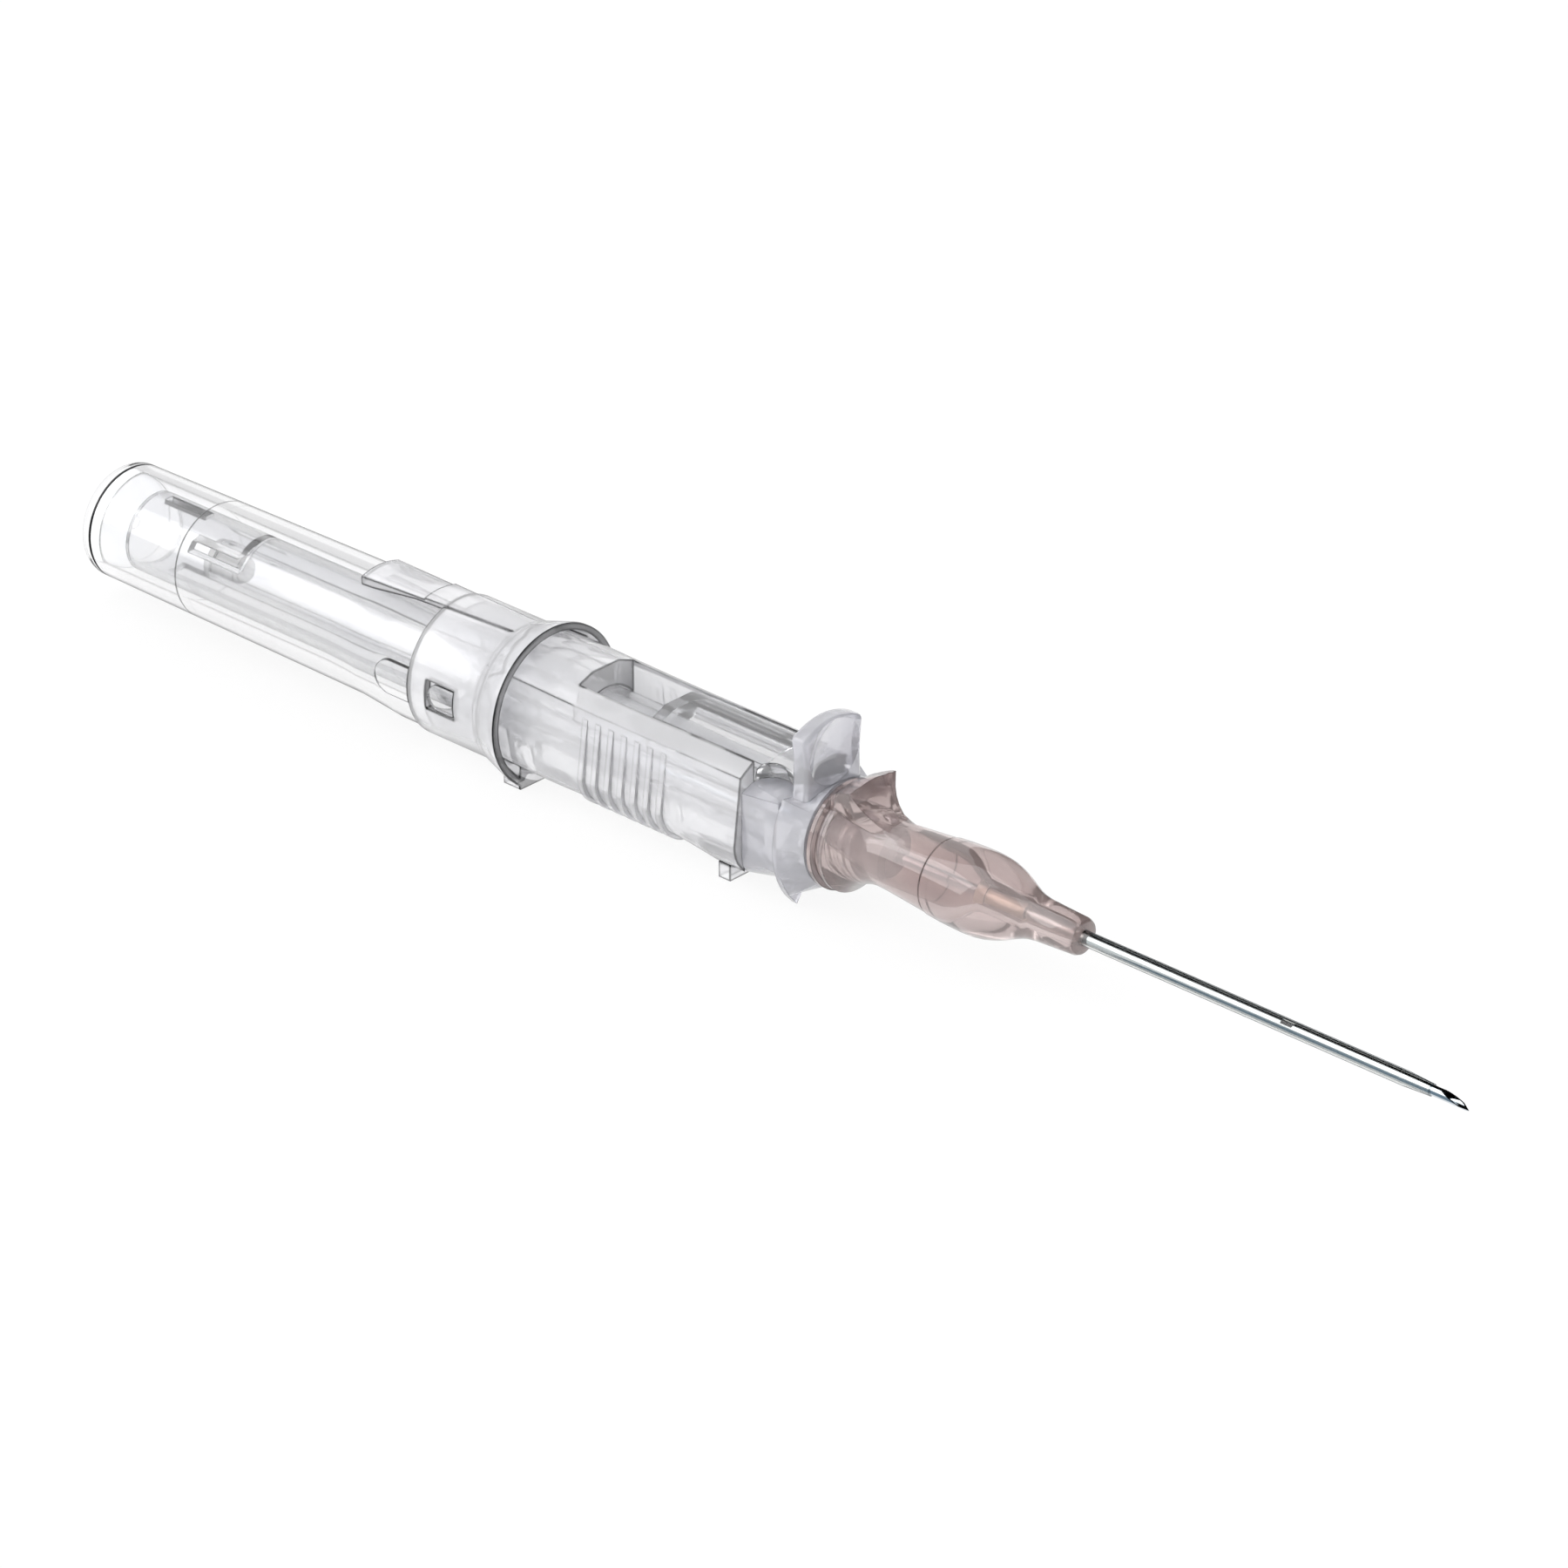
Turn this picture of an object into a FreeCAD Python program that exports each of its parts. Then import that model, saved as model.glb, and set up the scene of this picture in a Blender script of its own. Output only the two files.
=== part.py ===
import FreeCAD, Part
import os

# Safety intravenous cannula: a clear handle, a guard that slides out over the needle,
# and a soft catheter on a tinted hub. Millimetres, +X towards the needle's tip, +Z up.
# Stations are measured from the handle's rear end, heights from the needle's axis.

# Needle and catheter, a 20 gauge catheter on a 22 gauge needle
totalLength = 129.3
needleRadius = 0.36
needleBore = 0.24
bevelLength = 2.3
notchFromTip = 15.5
notchLength = 1.0
notchDepth = 0.16
facetLength = 1.3
facetTurn = 38
catheterRadius = 0.55
catheterWall = 0.14
catheterTipLength = 2.2
catheterTipFromEnd = 3.0
catheterSeatFromNose = 4.9
catheterSocketLength = 3.6
catheterSocketRadius = 0.78

# Rear barrel
barrelRearRadius = 4.56
barrelMidRadius = 4.82
barrelMidStation = 29.5
barrelFrontRadius = 5.18
barrelFrontStation = 33.8
barrelWall = 0.9
barrelEdgeRadius = 0.75
counterboreLength = 9.6
counterboreDepth = 0.12
spigotLength = 6.6
spigotDrop = 0.35
capThickness = 1.1
capRecess = 0.8
capVentRadius = 0.45
dishRadius = 9.0
dishDepth = 0.3

# Snap lugs that hold the barrel in the sleeve
lugLength = 2.6
lugHeight = 2.0
lugReach = 0.5
lugSetback = 2.0
lugCentreHeight = 0.2
lugClearance = 0.15
sideKeyLength = 3.4
sideKeyHeight = 2.7
sideKeyReach = 0.25

# Sleeve and collar of the front moulding
sleeveStation = 36.6
sleeveStep = 0.24
collarStation = 43.0
collarFrontStation = 46.4
collarFlare = 0.88
collarWall = 0.5
collarRecess = 2.2
collarLip = 0.4
tongueLength = 8.2
tongueStepLength = 1.9
tongueRearHalfWidth = 1.9
tongueFrontHalfWidth = 1.15
tongueRidge = 0.16
tongueOverlap = 0.6
footHalfWidth = 3.7
footHeight = 2.0
footLength = 1.7

# Channel of the front moulding, its section seen from the end
channelEndStation = 68.6
roofEndStation = 51.6
axisHeight = 5.4
creaseHalfWidth = 4.1
creaseHeight = 3.6
shoulderHalfWidth = 2.75
shoulderHeight = 4.45
roofHeight = 5.0
roofHalfWidth = 1.3
sideHalfWidth = 4.6
sideHeight = -1.6
bellyHalfWidth = 2.2
bellyDepth = 4.15
flareStation = 62.4
flareSideWidth = 4.75
flareDrop = 0.35
toeStation = 65.8
toeLength = 1.1
toeHalfWidth = 3.4
rakeHeight = -1.2
gripWaist = 0.1
gripRearLift = 0.3
gripRearRise = 0.15
gripHumpStation = 50.8
gripHumpDrop = 0.1
bellyRounding = 0.42
boreRadius = 3.3
ribCount = 7
ribPitch = 1.28
ribWidth = 0.5
ribReach = 0.25
ribTop = 3.0
ribInnerHalfWidth = 1.9
ribStation = 53.3
floorSlotFit = 0.06

# Needle hub and its flash chamber
hubTubeRadius = 1.65
hubTubeWall = 0.45
hubRearStation = 12.0
hubFrontGap = 0.5
hubNoseLength = 3.0
hubNoseRadius = 1.0
needleSeatLength = 6.5
keelLength = 4.0
keelThickness = 1.2
keelSink = 0.4
chamberTaper = 1.5
plugLength = 2.6
plugFlange = 0.9
plugFlangeReach = 0.35
plugChamfer = 0.25

# Sliding guard
guardRadius = 3.18
guardWall = 0.55
guardRearStation = 4.2
guardRingLength = 2.0
guardTravel = 56.4
guardStopGap = 0.8
slotClearance = 0.25
slotFrontGap = 0.4
fingerStation = 10.8
fingerLength = 5.6
fingerSlot = 0.7
fingerHook = 0.9
fingerHeight = 1.5
latchStation = 5.6
latchLength = 4.6
latchHalfWidth = 0.4
railStation = 58.7
railHalfWidth = 2.6
railShoulder = 4.4
railTop = 4.95
scoopRadius = 2.0
scoopFromNose = 1.7
scoopHalfWidth = 3.2
guardSpigotLength = 1.6
guardSpigotDrop = 0.25

# Guard nose with its flange, finger tab and catheter spigot
noseBlockLength = 3.5
noseHalfWidth = 4.1
noseTopHeight = 2.95
noseBellyHalfWidth = 3.1
noseBellyDepth = 4.1
noseBellyFront = 3.3
noseBellyRise = 0.4
noseSideDrop = 2.6
noseChamferRear = 1.0
noseChamferFront = 0.4
noseChamferRise = 0.45
flangeThickness = 0.5
flangeHalfWidth = 4.75
flangeWaistHeight = 0.9
flangeCornerHalfWidth = 3.7
flangeCornerHeight = 3.15
flangeTopHeight = 2.9
flangeHipHalfWidth = 3.5
flangeHipDepth = 4.4
flangeToeHalfWidth = 2.75
flangeToeDepth = 5.25
flangeBottomDepth = 4.55
flangeToeWidth = 0.5
discRadius = 4.0
discThickness = 1.8
tabHalfWidth = 3.0
tabWaist = 0.2
tabTopHeight = 8.6
tabCornerHeight = 7.7
tabFootHeight = 2.0
tabThickness = 1.5
tabRounding = 0.4
tabScoopRadius = 5.0
tabScoopDepth = 0.7
tabScoopHeight = 6.1
luerLength = 5.6
luerChamfer = 0.4
luerClearance = 0.06
needleHoleClearance = 0.2

# Catheter hub
hubLength = 22.0
hubGap = 0.15
hubEdge = 0.15
hubRimRadius = 4.08
hubRimWidth = 0.65
hubGrooveRadius = 3.72
hubGrooveWidth = 0.3
hubSecondRimRadius = 3.92
hubSecondRimWidth = 0.45
hubFlareLength = 4.0
hubFlareSag = 0.62
hubNeckRadius = 2.5
hubBodyRadius = 2.84
hubStepStation = 9.4
hubStepGroove = 0.08
hubWideStation = 11.6
hubWideRadius = 3.04
hubShoulderStation = 13.9
hubShoulderRadius = 2.45
hubNoseStation = 18.1
hubNoseRearRadius = 1.52
hubNoseFrontRadius = 1.36
hubNoseRounding = 0.35
luerMouthRadius = 2.14
luerTaper = 0.03
luerDepth = 8.0
hubThroatRadius = 1.1
hubThroatStation = 12.6
hubTabHalfWidth = 2.5
hubTabHeight = 5.15
hubTabFront = 2.6
hubTabSweep = 1.9
hubTabRoot = 2.2
hubTabRounding = 0.25
hubTabCrown = 0.6
socketTaper = 0.5
eyeletWall = 0.12
eyeletFlare = 0.22
eyeletFlareLength = 0.7
eyeletOverlap = 0.3

# Running and seating clearances
runningGap = 0.1
seatGap = 0.03
beyond = 1.0

origin = FreeCAD.Vector(0, 0, 0)
alongX = FreeCAD.Vector(1, 0, 0)


def point(x, y, z):
    return FreeCAD.Vector(x, y, z)


def rod(start, end, radius):
    return Part.makeCylinder(radius, end - start, point(start, 0, 0), alongX)


def block(start, end, halfWidth, low, high):
    return Part.makeBox(end - start, 2 * halfWidth, high - low, point(start, -halfWidth, low))


def pathEdges(place, start, steps):
    """Edges from corner to corner. A step of two points is an arc: a point on it, then its end."""
    edges = []
    here = place(*start)
    for step in steps:
        if isinstance(step[0], tuple):
            middle, end = place(*step[0]), place(*step[1])
            edges.append(Part.Arc(here, middle, end).toShape())
        else:
            end = place(*step)
            edges.append(Part.makeLine(here, end))
        here = end
    return edges


def turned(profile):
    """Revolves a closed outline of (station, radius) points about the needle's axis."""
    corners = [point(x, 0, r) for x, r in profile]
    outline = Part.makePolygon(corners + corners[:1])
    return Part.Face(outline).revolve(origin, alongX, 360)


def tube(profile, boreProfile):
    return turned(profile).cut(turned(boreProfile))


def mirroredSection(station, top, steps):
    """Closed wire across the part: the steps lead from its top down to its foot, for y >= 0."""
    edges = []
    for side in (1, -1):
        edges += pathEdges(lambda y, z: point(station, side * y, z), top, steps)
    return Part.Wire(Part.__sortEdges__(edges))


def prism(wire, length):
    return Part.Face(wire).extrude(point(length, 0, 0))


# Rear barrel
def barrelSkin(clearance):
    """Closed outline of the barrel's outside up to the sleeve: a slow taper, then a short flare."""
    outside = [(0, barrelRearRadius), (barrelMidStation, barrelMidRadius),
               (barrelFrontStation, barrelFrontRadius), (sleeveStation, barrelFrontRadius)]
    return [(0, 0)] + [(x, r + clearance) for x, r in outside] + [(sleeveStation, 0)]


barrelEnd = sleeveStation + spigotLength
sleeveRadius = barrelFrontRadius + sleeveStep
collarRadius = sleeveRadius + collarFlare
spigotRadius = barrelFrontRadius - spigotDrop
barrelBoreRadius = barrelRearRadius - barrelWall
counterboreEnd = capRecess + counterboreLength
counterboreRadius = barrelBoreRadius + counterboreDepth
sideKeyStation = sleeveStation - sideKeyLength
lugStation = sleeveStation + lugSetback


def sidePad(start, end, reachRadius, height, insideRadius):
    """A raised pad on both flanks of the barrel, rounded at its rear end."""
    radius = height / 2
    pad = block(start + radius, end, reachRadius, lugCentreHeight - radius, lugCentreHeight + radius)
    nose = Part.makeCylinder(
        radius, 2 * reachRadius, point(start + radius, -reachRadius, lugCentreHeight), point(0, 1, 0)
    )
    pad = pad.fuse(nose).common(rod(start, end, reachRadius))
    return pad.cut(rod(start - beyond, end + beyond, insideRadius))


def makeRearBarrel():
    body = turned(barrelSkin(0)).fuse(rod(sleeveStation, barrelEnd, spigotRadius))
    rearEdges = [e for e in body.Edges if e.BoundBox.XMax < seatGap and e.BoundBox.ZMax > barrelEdgeRadius]
    body = body.makeFillet(barrelEdgeRadius, rearEdges)
    body = body.cut(rod(-beyond, barrelEnd + beyond, barrelBoreRadius))
    body = body.cut(rod(capRecess, counterboreEnd, counterboreRadius))
    key = sidePad(sideKeyStation, sleeveStation, barrelFrontRadius + sideKeyReach, sideKeyHeight,
                  spigotRadius)
    lug = sidePad(lugStation, lugStation + lugLength, spigotRadius + lugReach, lugHeight,
                  (barrelBoreRadius + spigotRadius) / 2)
    return body.fuse([key, lug]).removeSplitter()


def makeEndCap():
    """Vented disc pressed into the barrel's rear mouth."""
    front = capRecess + capThickness
    disc = rod(capRecess + seatGap, front, counterboreRadius - seatGap)
    dish = Part.makeSphere(dishRadius, point(capRecess + dishDepth - dishRadius, 0, 0))
    return disc.cut(dish).cut(rod(0, front + beyond, capVentRadius))


# Front moulding: sleeve, bell-shaped collar and grooved channel
def channelSection(station, sideWidth, bellyWidth, belly, lift=0):
    corner = ((sideWidth + bellyWidth) / 2 + bellyRounding, (sideHeight - belly) / 2 - bellyRounding)
    return mirroredSection(station, (0, roofHeight + lift), [
        (roofHalfWidth, roofHeight + lift),
        (shoulderHalfWidth, shoulderHeight + lift),
        (creaseHalfWidth, creaseHeight + lift),
        (sideWidth, sideHeight),
        (corner, (bellyWidth, -belly)),
        (0, -belly),
    ])


recessStation = collarFrontStation - collarRecess
gripMiddle = (gripHumpStation + flareStation) / 2


def makeChannelOuter():
    """Finger grip with a low hump at its rear, then a flare that stands on a narrow toe."""
    rear = channelSection(recessStation - collarWall, sideHalfWidth, bellyHalfWidth,
                          bellyDepth - gripRearRise, gripRearLift)
    hump = channelSection(gripHumpStation, sideHalfWidth, bellyHalfWidth + gripHumpDrop,
                          bellyDepth + gripHumpDrop, gripRearLift / 3)
    centre = channelSection(gripMiddle, sideHalfWidth - gripWaist, bellyHalfWidth, bellyDepth)
    front = channelSection(flareStation, sideHalfWidth, bellyHalfWidth, bellyDepth)
    lip = channelSection(toeStation, flareSideWidth, bellyHalfWidth + flareDrop, bellyDepth + flareDrop)
    toe = block(toeStation, toeStation + toeLength, toeHalfWidth, -axisHeight, -bellyDepth)
    grip = Part.makeLoft([rear, hump, centre, front], True, False)
    flare = Part.makeLoft([front, lip], True, True)
    mouth = prism(lip, channelEndStation - toeStation)
    body = grip.fuse([flare, mouth, toe])
    rake = [point(channelEndStation, 0, rakeHeight), point(channelEndStation + beyond, 0, rakeHeight),
            point(channelEndStation + beyond, 0, -axisHeight), point(toeStation + toeLength, 0, -axisHeight)]
    wedge = Part.Face(Part.makePolygon(rake + rake[:1])).extrude(point(0, 2 * footHalfWidth, 0))
    wedge.translate(point(0, -footHalfWidth, 0))
    return body.cut(wedge).removeSplitter()


def makeCollar():
    """The sleeve flares into a thin bell with a flat foot; the bell's mouth is open to the front."""
    lipStation = collarFrontStation - collarLip
    slope = (collarRadius - sleeveRadius) / (lipStation - collarStation)
    recessRadius = sleeveRadius - collarWall + slope * (recessStation - collarStation)
    bell = turned([(sleeveStation, 0), (sleeveStation, sleeveRadius), (collarStation, sleeveRadius),
                   (lipStation, collarRadius), (collarFrontStation, collarRadius), (collarFrontStation, 0)])
    mouthRadius = collarRadius - collarWall
    hollow = turned([(recessStation, 0), (recessStation, recessRadius), (lipStation, mouthRadius),
                     (collarFrontStation + beyond, mouthRadius), (collarFrontStation + beyond, 0)])
    foot = block(collarFrontStation - footLength, collarFrontStation, footHalfWidth, -axisHeight,
                 footHeight - axisHeight)
    table = block(sleeveStation, collarFrontStation, collarRadius, -axisHeight, collarRadius)
    return bell.cut(hollow).common(table).fuse(foot)


def makeTongue():
    """Strip on top that reaches back over the barrel, wider at its rear, with a raised front part."""
    rear = sleeveStation - tongueLength
    front = collarStation + tongueOverlap
    step = sleeveStation - tongueStepLength
    plan = [point(rear, tongueRearHalfWidth, 0), point(front, tongueFrontHalfWidth, 0),
            point(front, -tongueFrontHalfWidth, 0), point(rear, -tongueRearHalfWidth, 0)]
    strip = Part.Face(Part.makePolygon(plan + plan[:1])).extrude(point(0, 0, collarRadius))
    layers = rod(rear, front, sleeveRadius + seatGap).fuse(rod(step, front, sleeveRadius + tongueRidge))
    socket = rod(sleeveStation, front + beyond, spigotRadius + seatGap)
    return strip.common(layers).cut(turned(barrelSkin(seatGap))).cut(socket)


def makeFrontChannel():
    body = makeCollar().fuse([makeChannelOuter(), makeTongue()])
    socket = rod(sleeveStation - beyond, barrelEnd + seatGap, spigotRadius + seatGap)
    bore = rod(barrelEnd - beyond, channelEndStation + beyond, boreRadius)
    topSlot = block(roofEndStation, channelEndStation + beyond, railHalfWidth + runningGap, 0,
                    roofHeight + beyond)
    body = body.cut(socket).cut(bore).cut(topSlot)
    windowHalf = lugHeight / 2 + lugClearance
    window = block(lugStation - lugClearance, lugStation + lugLength + lugClearance, sleeveRadius + beyond,
                   lugCentreHeight - windowHalf, lugCentreHeight + windowHalf)
    body = body.cut(window.cut(rod(sleeveStation, channelEndStation, boreRadius)))
    ribs = [makeGripRib(ribStation + index * ribPitch) for index in range(ribCount)]
    keelSlot = block(keelStart - floorSlotFit, keelEnd + floorSlotFit, keelThickness / 2 + floorSlotFit,
                     -axisHeight, 0)
    return body.fuse(ribs).cut(keelSlot).removeSplitter()


def makeGripRib(start):
    """One rib on both side walls, which runs down and round under the belly's corners."""
    outer = prism(channelSection(start, sideHalfWidth + ribReach, bellyHalfWidth + ribReach,
                                 bellyDepth + ribReach), ribWidth)
    inner = prism(channelSection(start, sideHalfWidth - 2 * ribReach, bellyHalfWidth - ribReach,
                                 bellyDepth - ribReach), ribWidth)
    band = block(start, start + ribWidth, sideHalfWidth + beyond, -axisHeight, ribTop)
    middle = block(start, start + ribWidth, ribInnerHalfWidth, -axisHeight, ribTop)
    return outer.cut(inner).common(band).cut(middle)


# Needle hub: flash chamber on a keel that stands in the channel's floor
hubFrontStation = channelEndStation - hubFrontGap
keelStart = guardRearStation + guardRingLength + guardTravel + guardStopGap
keelEnd = keelStart + keelLength
needleRearStation = hubFrontStation - hubNoseLength - needleSeatLength
chamberRadius = hubTubeRadius - hubTubeWall


def makeNeedleHub():
    body = turned([(hubRearStation, 0), (hubRearStation, hubTubeRadius),
                   (hubFrontStation - hubNoseLength, hubTubeRadius),
                   (hubFrontStation, hubNoseRadius), (hubFrontStation, 0)])
    keel = block(keelStart, keelEnd, keelThickness / 2, keelSink - axisHeight, 0)
    seatRadius = needleRadius + seatGap
    chamber = turned([(hubRearStation - beyond, 0), (hubRearStation - beyond, chamberRadius),
                      (needleRearStation - chamberTaper, chamberRadius), (needleRearStation, seatRadius),
                      (hubFrontStation + beyond, seatRadius), (hubFrontStation + beyond, 0)])
    return body.fuse(keel).cut(chamber).removeSplitter()


def makeFlashPlug():
    """Porous plug that lets air out of the flash chamber."""
    rear = hubRearStation - plugFlange
    shoulder = hubRearStation - seatGap
    front = hubRearStation + plugLength
    flangeRadius = chamberRadius + plugFlangeReach
    stemRadius = chamberRadius - seatGap
    return turned([(rear, 0), (rear, flangeRadius - plugChamfer), (rear + plugChamfer, flangeRadius),
                   (shoulder, flangeRadius), (shoulder, stemRadius), (front - plugChamfer, stemRadius),
                   (front, stemRadius - plugChamfer), (front, 0)])


def makeNeedle():
    """Tube ground to a lancet point: one long bevel and two side facets."""
    shaft = rod(needleRearStation, totalLength, needleRadius).cut(
        rod(needleRearStation - beyond, totalLength + beyond, needleBore))
    notchStation = totalLength - notchFromTip
    notch = block(notchStation, notchStation + notchLength, beyond, needleRadius - notchDepth, beyond)
    shaft = shaft.cut(notch).cut(grindingCut(bevelLength))
    for turn in (facetTurn, -facetTurn):
        facet = grindingCut(facetLength)
        facet.rotate(point(totalLength, 0, -needleRadius), alongX, turn)
        shaft = shaft.cut(facet)
    return shaft


def grindingCut(length):
    """What a grinding plane through the point of the needle takes away above it."""
    slope = 2 * needleRadius / length
    reach = (beyond - needleRadius) / slope
    corners = [point(totalLength + beyond, -beyond, -needleRadius - slope * beyond),
               point(totalLength + beyond, -beyond, beyond),
               point(totalLength - length - reach, -beyond, beyond)]
    return Part.Face(Part.makePolygon(corners + corners[:1])).extrude(point(0, 2 * beyond, 0))


# Guard tube
guardFrontStation = channelEndStation + guardSpigotLength
noseStation = channelEndStation + runningGap
noseEnd = noseStation + noseBlockLength


def railSection(station, foot):
    return mirroredSection(station, (0, railTop), [
        (roofHalfWidth, railTop),
        (railHalfWidth, railShoulder),
        (railHalfWidth, foot),
        (0, foot),
    ])


def makeGuardRail():
    """Rail on the guard's back that fills the channel's top slot and ends at the finger tab."""
    inside = prism(railSection(railStation, 0), channelEndStation - railStation)
    outside = prism(railSection(channelEndStation, noseTopHeight + seatGap), noseEnd - channelEndStation)
    rail = inside.fuse(outside)
    for side in (1, -1):
        place = point(noseEnd - scoopFromNose, side * scoopHalfWidth, noseTopHeight)
        rail = rail.cut(Part.makeSphere(scoopRadius, place))
    return rail


def makeNeedleGuard():
    body = rod(guardRearStation, channelEndStation, guardRadius)
    spigot = rod(channelEndStation, guardFrontStation, guardRadius - guardSpigotDrop)
    body = body.fuse([makeGuardRail(), spigot])
    body = body.cut(rod(guardRearStation - beyond, guardFrontStation + beyond, guardRadius - guardWall))
    slotHalf = keelThickness / 2 + slotClearance
    keelWay = block(guardRearStation + guardRingLength, channelEndStation - slotFrontGap, slotHalf,
                    -guardRadius - beyond, 0)
    latchSlot = block(latchStation, latchStation + latchLength, latchHalfWidth, 0, guardRadius + beyond)
    return body.cut(keelWay).cut(latchSlot).cut(makeFingerSlots()).removeSplitter()


def makeFingerSlots():
    """An L-shaped slot through each flank frees a springy finger."""
    reach = guardRadius + beyond
    low = fingerHeight
    slots = block(fingerStation, fingerStation + fingerLength, reach, low, low + fingerSlot)
    hook = block(fingerStation + fingerLength - fingerSlot, fingerStation + fingerLength, reach, low,
                 low + fingerSlot + fingerHook)
    return slots.fuse(hook)


# Guard nose
flangeEnd = noseEnd + flangeThickness
discEnd = flangeEnd + discThickness
luerEnd = discEnd + luerLength


def noseSection(station, chamferWidth, chamferDrop, belly):
    underCorner = (noseHalfWidth - noseBellyRise, noseBellyRise - belly)
    return mirroredSection(station, (0, noseTopHeight), [
        (noseHalfWidth - chamferWidth, noseTopHeight),
        (noseHalfWidth, noseTopHeight - chamferDrop),
        (noseHalfWidth, -noseSideDrop),
        (underCorner, (noseBellyHalfWidth, -belly)),
        (0, -belly),
    ])


def flangeSection(station, toeDepth):
    """Square flange with a dished top and pointed lower corners that reach down to the toe depth."""
    corner = (flangeCornerHalfWidth, flangeCornerHeight)
    hip = (flangeHipHalfWidth, -flangeHipDepth)
    return mirroredSection(station, (0, flangeTopHeight), [
        ((flangeCornerHalfWidth / 2, flangeTopHeight), corner),
        ((flangeHalfWidth, -flangeWaistHeight), hip),
        (flangeToeHalfWidth, -toeDepth),
        (flangeToeHalfWidth - flangeToeWidth, -flangeBottomDepth),
        (0, -flangeBottomDepth),
    ])


def discSection(station):
    """Circle with the same breaks as the flange's outline, so that one runs into the other."""
    def onDisc(y, z):
        scale = discRadius / (y * y + z * z) ** 0.5
        return y * scale, z * scale

    corner = onDisc(flangeCornerHalfWidth, flangeCornerHeight)
    hip = onDisc(flangeHipHalfWidth, -flangeHipDepth)
    toe = onDisc(flangeToeHalfWidth, -flangeToeDepth)
    inner = onDisc(flangeToeHalfWidth - flangeToeWidth, -flangeBottomDepth)
    return mirroredSection(station, (0, discRadius), [
        (onDisc(corner[0], corner[1] + discRadius), corner),
        ((discRadius, 0), hip),
        (onDisc(hip[0] + toe[0], hip[1] + toe[1]), toe),
        (onDisc(toe[0] + inner[0], toe[1] + inner[1]), inner),
        (onDisc(inner[0], inner[1] - discRadius), (0, -discRadius)),
    ])


def makeFingerTab():
    """Upright tab, rounded all round, with a scooped front for the fingertip."""
    waistHeight = (tabCornerHeight + tabFootHeight) / 2
    brow = (tabHalfWidth / 2, tabTopHeight - (tabTopHeight - tabCornerHeight) / 4)
    outline = mirroredSection(noseEnd, (0, tabTopHeight), [
        (brow, (tabHalfWidth, tabCornerHeight)),
        ((tabHalfWidth - tabWaist, waistHeight), (tabHalfWidth, tabFootHeight)),
        (0, tabFootHeight),
    ])
    plate = prism(outline, tabThickness)
    scoopStation = noseEnd + tabThickness + tabScoopRadius - tabScoopDepth
    rounded = [e for e in plate.Edges if e.BoundBox.ZMax > tabFootHeight + tabRounding]
    plate = plate.makeFillet(tabRounding, rounded)
    return plate.cut(Part.makeSphere(tabScoopRadius, point(scoopStation, 0, tabScoopHeight)))


def makeGuardNose():
    noseBlock = Part.makeLoft([noseSection(noseStation, noseChamferRear, noseChamferRise, noseBellyDepth),
                               noseSection(noseEnd, noseChamferFront, seatGap, noseBellyFront)], True, True)
    flange = prism(flangeSection(noseEnd, flangeToeDepth), flangeThickness)
    waist = flangeSection(flangeEnd, flangeHipDepth + seatGap)
    disc = Part.makeLoft([waist, discSection(discEnd)], True, True)
    mouth = luerMouthRadius - luerClearance
    tip = mouth - luerLength * luerTaper
    luer = turned([(discEnd, 0), (discEnd, mouth - hubGap * luerTaper), (luerEnd - luerChamfer, tip),
                   (luerEnd, tip - luerChamfer), (luerEnd, 0)])
    body = noseBlock.fuse([flange, disc, luer, makeFingerTab()])
    socket = rod(noseStation - beyond, guardFrontStation + seatGap, guardRadius - guardSpigotDrop + seatGap)
    hole = rod(noseStation - beyond, luerEnd + beyond, needleRadius + needleHoleClearance)
    return body.cut(socket).cut(hole).removeSplitter()


# Catheter hub, catheter and the eyelet that holds it
hubStart = discEnd + hubGap
hubEnd = hubStart + hubLength
eyeletFront = hubEnd - catheterSeatFromNose
catheterRear = eyeletFront - catheterSocketLength + eyeletOverlap


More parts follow.
